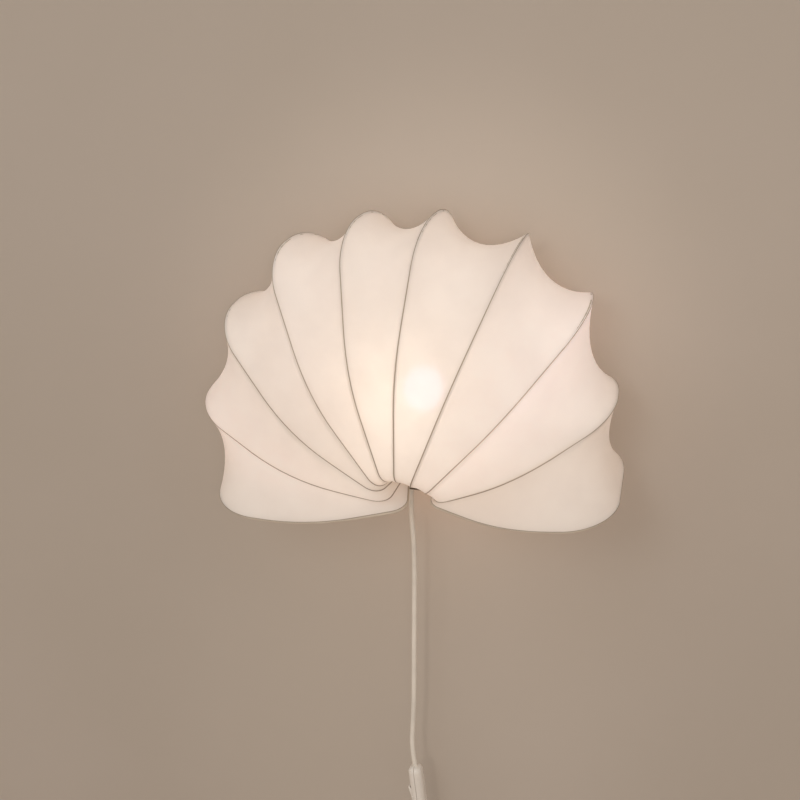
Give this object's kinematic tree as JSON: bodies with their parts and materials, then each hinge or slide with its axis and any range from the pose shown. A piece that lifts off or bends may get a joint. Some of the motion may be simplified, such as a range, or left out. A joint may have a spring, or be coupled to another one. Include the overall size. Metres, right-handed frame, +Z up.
{
  "type": "wall lamp",
  "caption": "Fan-shaped wall lamp: bent wire ribs under stretched white fabric round a small bulb, on a wall bracket, with a cord, in-line switch and plug.",
  "frame": {"origin": "middle of the fan on the wall plane, centred between the wall bracket's screw holes", "axes": "+Z up the wall, -Y out of the wall towards the viewer, +X to the viewer's right"},
  "size_m": [0.4599, 0.1837, 0.9669],
  "materials": {
    "rib_wire": "satin",
    "shade_fabric": "fine stretch knit, translucent",
    "plated_steel": "zinc plated",
    "hub_plastic": "matt",
    "screw_steel": "bright zinc",
    "brass_fittings": "satin",
    "holder_plastic": "matt",
    "insert_ceramic": "unglazed",
    "nickel_plate": "bright",
    "tip_solder": "dull",
    "opal_glass": "opal",
    "cord_sheath": "smooth",
    "white_plastic": "satin",
    "tie_strap": "matt"
  },
  "bodies": {
    "lamp": {"wall_bracket": "plated_steel", "rear_hub": "hub_plastic", "column": "plated_steel", "clamp_screw": "screw_steel", "fan_hub": "hub_plastic", "rib_1": "rib_wire", "rib_2": "rib_wire", "rib_3": "rib_wire", "rib_4": "rib_wire", "rib_5": "rib_wire", "rib_6": "rib_wire", "rib_7": "rib_wire", "rib_8": "rib_wire", "rib_9": "rib_wire", "rib_10": "rib_wire", "gore_1": "shade_fabric", "gore_2": "shade_fabric", "gore_3": "shade_fabric", "gore_4": "shade_fabric", "gore_5": "shade_fabric", "gore_6": "shade_fabric", "gore_7": "shade_fabric", "gore_8": "shade_fabric", "gore_9": "shade_fabric", "end_panel_left": "shade_fabric", "end_panel_right": "shade_fabric", "holder_nipple": "brass_fittings", "nipple_nut": "brass_fittings", "holder_shell": "holder_plastic", "holder_insert": "insert_ceramic", "threaded_sleeve": "brass_fittings", "centre_contact": "brass_fittings", "bulb_cap": "nickel_plate", "bulb_tip": "tip_solder", "bulb_glass": "opal_glass", "cord_relief": "cord_sheath", "cord_upper": "cord_sheath", "switch_rocker_shell": "white_plastic", "switch_back_shell": "white_plastic", "switch_screws": "screw_steel", "switch_terminals": "brass_fittings", "cord_lower": "cord_sheath", "cord_coil": "cord_sheath", "coil_tie": "tie_strap", "cord_tail": "cord_sheath", "plug_relief": "cord_sheath", "plug_body": "white_plastic", "plug_pins": "nickel_plate"},
    "rocker": {"switch_rocker": "white_plastic"}
  },
  "joints": [
    {"name": "rocker_tip", "type": "hinge", "parent": "lamp", "child": "rocker", "pos_m": [-0.01256, -0.068, -0.43041], "axis": [0, 1, 0], "range_deg": [0, 16]}
  ]
}
